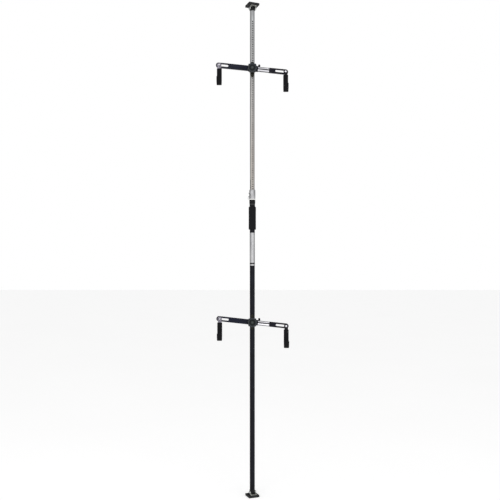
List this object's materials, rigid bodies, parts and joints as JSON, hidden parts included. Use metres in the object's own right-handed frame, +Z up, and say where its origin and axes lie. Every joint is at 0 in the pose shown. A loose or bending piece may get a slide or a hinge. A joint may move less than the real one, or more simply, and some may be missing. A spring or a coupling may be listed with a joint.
{
  "type": "bike storage rack",
  "caption": "Floor-to-ceiling sprung pole with adjustable tilting arms that hang bicycles by the top tube on sleeved hooks.",
  "frame": {"origin": "centre of the floor pad's underside, on the pole's axis", "axes": "+Z up along the pole, +X to the arms' lower right ends, -Y to the front, where the hooks are"},
  "size_m": [0.3996, 0.1411, 2.733],
  "materials": {
    "pad_rubber": "matte",
    "bracket_steel": "satin",
    "bolt_steel": "satin",
    "plug_plastic": "matte",
    "lower_paint": "satin",
    "label_film": "satin",
    "grip_foam": "matte",
    "cap_plastic": "satin",
    "spring_steel": "satin",
    "nylon": "satin",
    "housing_paint": "satin",
    "ball_plastic": "glossy",
    "tube_steel": "satin",
    "bush_plastic": "matte",
    "ring_steel": "satin",
    "clamp_steel": "satin",
    "saddle_plastic": "matte",
    "washer_fibre": "matte",
    "knob_plastic": "satin",
    "knob_cap_plastic": "satin",
    "arm_paint": "satin",
    "bar_aluminium": "satin",
    "end_plastic": "satin",
    "hook_zinc": "satin",
    "hook_black": "satin",
    "screw_zinc": "satin",
    "sleeve_rubber": "matte"
  },
  "bodies": {
    "pole": {"floor_plug": "plug_plastic", "lower_tube": "lower_paint", "label_band": "label_film", "grip": "grip_foam", "tube_cap": "cap_plastic", "tension_spring": "spring_steel", "nylon_washer": "nylon", "lock_housing": "housing_paint", "stop_screw": "ball_plastic"},
    "floor_foot": {"floor_pad": "pad_rubber", "floor_bracket": "bracket_steel", "floor_bolt": "bolt_steel"},
    "upper_section": {"upper_tube": "tube_steel", "slide_bush": "bush_plastic", "pin_carrier": "clamp_steel", "ceiling_plug": "plug_plastic"},
    "ceiling_foot": {"ceiling_pad": "pad_rubber", "ceiling_bracket": "bracket_steel", "ceiling_bolt": "bolt_steel"},
    "locking_pin": {"lock_pin": "bolt_steel"},
    "ring": {"pull_ring": "ring_steel"},
    "lower_collar": {"lower_liner": "bush_plastic"},
    "lower_clamp": {"lower_strap": "clamp_steel", "lower_saddle": "saddle_plastic", "lower_stud": "bolt_steel", "lower_washer": "washer_fibre"},
    "lower_star": {"lower_knob": "knob_plastic", "lower_knob_cap": "knob_cap_plastic"},
    "lower_arm": {"lower_channel": "arm_paint"},
    "lower_bar": {"lower_slide_bar": "bar_aluminium", "lower_end_piece": "end_plastic"},
    "lower_lock": {"lower_lock_screw": "ball_plastic"},
    "lower_left_carrier": {"lower_left_bolt": "screw_zinc", "lower_left_spacer": "washer_fibre"},
    "lower_left_cradle": {"lower_left_hook": "hook_zinc", "lower_left_sleeve": "sleeve_rubber"},
    "lower_right_carrier": {"lower_right_bolt": "screw_zinc", "lower_right_spacer": "washer_fibre"},
    "lower_right_cradle": {"lower_right_hook": "hook_black", "lower_right_sleeve": "sleeve_rubber"},
    "upper_collar": {"upper_liner": "bush_plastic"},
    "upper_clamp": {"upper_strap": "clamp_steel", "upper_saddle": "saddle_plastic", "upper_stud": "bolt_steel", "upper_washer": "washer_fibre"},
    "upper_star": {"upper_knob": "knob_plastic", "upper_knob_cap": "knob_cap_plastic"},
    "upper_arm": {"upper_channel": "arm_paint"},
    "upper_bar": {"upper_slide_bar": "bar_aluminium", "upper_end_piece": "end_plastic"},
    "upper_lock": {"upper_lock_screw": "ball_plastic"},
    "upper_left_carrier": {"upper_left_bolt": "screw_zinc", "upper_left_spacer": "washer_fibre"},
    "upper_left_cradle": {"upper_left_hook": "hook_zinc", "upper_left_sleeve": "sleeve_rubber"},
    "upper_right_carrier": {"upper_right_bolt": "screw_zinc", "upper_right_spacer": "washer_fibre"},
    "upper_right_cradle": {"upper_right_hook": "hook_black", "upper_right_sleeve": "sleeve_rubber"}
  },
  "joints": [
    {"name": "floor_pivot", "type": "hinge", "parent": "pole", "child": "floor_foot", "pos_m": [0, 0, 0.024], "axis": [0.9272, 0.3746, 0], "range_deg": [-12, 12]},
    {"name": "tension_slide", "type": "slide", "parent": "pole", "child": "upper_section", "axis": [0, 0, 1], "range_m": [-0.004, 0.013], "stiffness_N_per_m": 10000, "springref_m": 0.03, "deforming": ["tension_spring"]},
    {"name": "ceiling_pivot", "type": "hinge", "parent": "upper_section", "child": "ceiling_foot", "pos_m": [0, 0, 2.709], "axis": [0.9272, 0.3746, 0], "range_deg": [-12, 12]},
    {"name": "lock_pin_slide", "type": "slide", "parent": "upper_section", "child": "locking_pin", "axis": [-0.7705, -0.6374, 0], "range_m": [0, 0.032]},
    {"name": "ring_swing", "type": "hinge", "parent": "locking_pin", "child": "ring", "pos_m": [-0.01849, -0.0153, 1.6623], "axis": [-0.6374, 0.7705, 0], "range_deg": [-15, 100]},
    {"name": "lower_height", "type": "slide", "parent": "pole", "child": "lower_collar", "axis": [0, 0, 1], "range_m": [-0.7, 0.28]},
    {"name": "lower_swivel", "type": "hinge", "parent": "lower_collar", "child": "lower_clamp", "pos_m": [0, 0, 0.969], "axis": [0, 0, 1], "continuous": true},
    {"name": "lower_knob_turn", "type": "hinge", "parent": "lower_clamp", "child": "lower_star", "pos_m": [0, -0.03146, 0.969], "axis": [0, -1, 0], "range_deg": [0, 720]},
    {"name": "lower_tilt", "type": "hinge", "parent": "lower_clamp", "child": "lower_arm", "pos_m": [0, -0.03146, 0.969], "axis": [0, -1, 0], "range_deg": [-25, 25]},
    {"name": "lower_bar_slide", "type": "slide", "parent": "lower_arm", "child": "lower_bar", "axis": [0.9942, 0, -0.108], "range_m": [-0.025, 0.03]},
    {"name": "lower_lock_turn", "type": "hinge", "parent": "lower_arm", "child": "lower_lock", "pos_m": [0.03579, -0.03696, 0.96511], "axis": [0.108, 0, 0.9942], "range_deg": [0, 720]},
    {"name": "lower_left_slide", "type": "slide", "parent": "lower_arm", "child": "lower_left_carrier", "axis": [0.9942, 0, -0.108], "range_m": [0, 0.044]},
    {"name": "lower_right_slide", "type": "slide", "parent": "lower_bar", "child": "lower_right_carrier", "axis": [-0.9942, 0, 0.108], "range_m": [0, 0.052]},
    {"name": "lower_left_swing", "type": "hinge", "parent": "lower_left_carrier", "child": "lower_left_cradle", "pos_m": [-0.17895, -0.03146, 0.98844], "axis": [0, -1, 0], "range_deg": [-60, 60]},
    {"name": "lower_right_swing", "type": "hinge", "parent": "lower_right_carrier", "child": "lower_right_cradle", "pos_m": [0.18591, -0.03146, 0.9488], "axis": [0, -1, 0], "range_deg": [-60, 60]},
    {"name": "upper_height", "type": "slide", "parent": "upper_section", "child": "upper_collar", "axis": [0, 0, 1], "range_m": [-0.6, 0.277]},
    {"name": "upper_swivel", "type": "hinge", "parent": "upper_collar", "child": "upper_clamp", "pos_m": [0, 0, 2.364], "axis": [0, 0, 1], "continuous": true},
    {"name": "upper_knob_turn", "type": "hinge", "parent": "upper_clamp", "child": "upper_star", "pos_m": [0, -0.03016, 2.364], "axis": [0, -1, 0], "range_deg": [0, 720]},
    {"name": "upper_tilt", "type": "hinge", "parent": "upper_clamp", "child": "upper_arm", "pos_m": [0, -0.03016, 2.364], "axis": [0, -1, 0], "range_deg": [-25, 25]},
    {"name": "upper_bar_slide", "type": "slide", "parent": "upper_arm", "child": "upper_bar", "axis": [0.9949, 0, -0.1011], "range_m": [-0.025, 0.03]},
    {"name": "upper_lock_turn", "type": "hinge", "parent": "upper_arm", "child": "upper_lock", "pos_m": [0.03582, -0.03566, 2.36036], "axis": [0.1011, 0, 0.9949], "range_deg": [0, 720]},
    {"name": "upper_left_slide", "type": "slide", "parent": "upper_arm", "child": "upper_left_carrier", "axis": [0.9949, 0, -0.1011], "range_m": [0, 0.044]},
    {"name": "upper_right_slide", "type": "slide", "parent": "upper_bar", "child": "upper_right_carrier", "axis": [-0.9949, 0, 0.1011], "range_m": [0, 0.052]},
    {"name": "upper_left_swing", "type": "hinge", "parent": "upper_left_carrier", "child": "upper_left_cradle", "pos_m": [-0.18107, -0.03016, 2.38239], "axis": [0, -1, 0], "range_deg": [-60, 60]},
    {"name": "upper_right_swing", "type": "hinge", "parent": "upper_right_carrier", "child": "upper_right_cradle", "pos_m": [0.18306, -0.03016, 2.34541], "axis": [0, -1, 0], "range_deg": [-60, 60]}
  ]
}
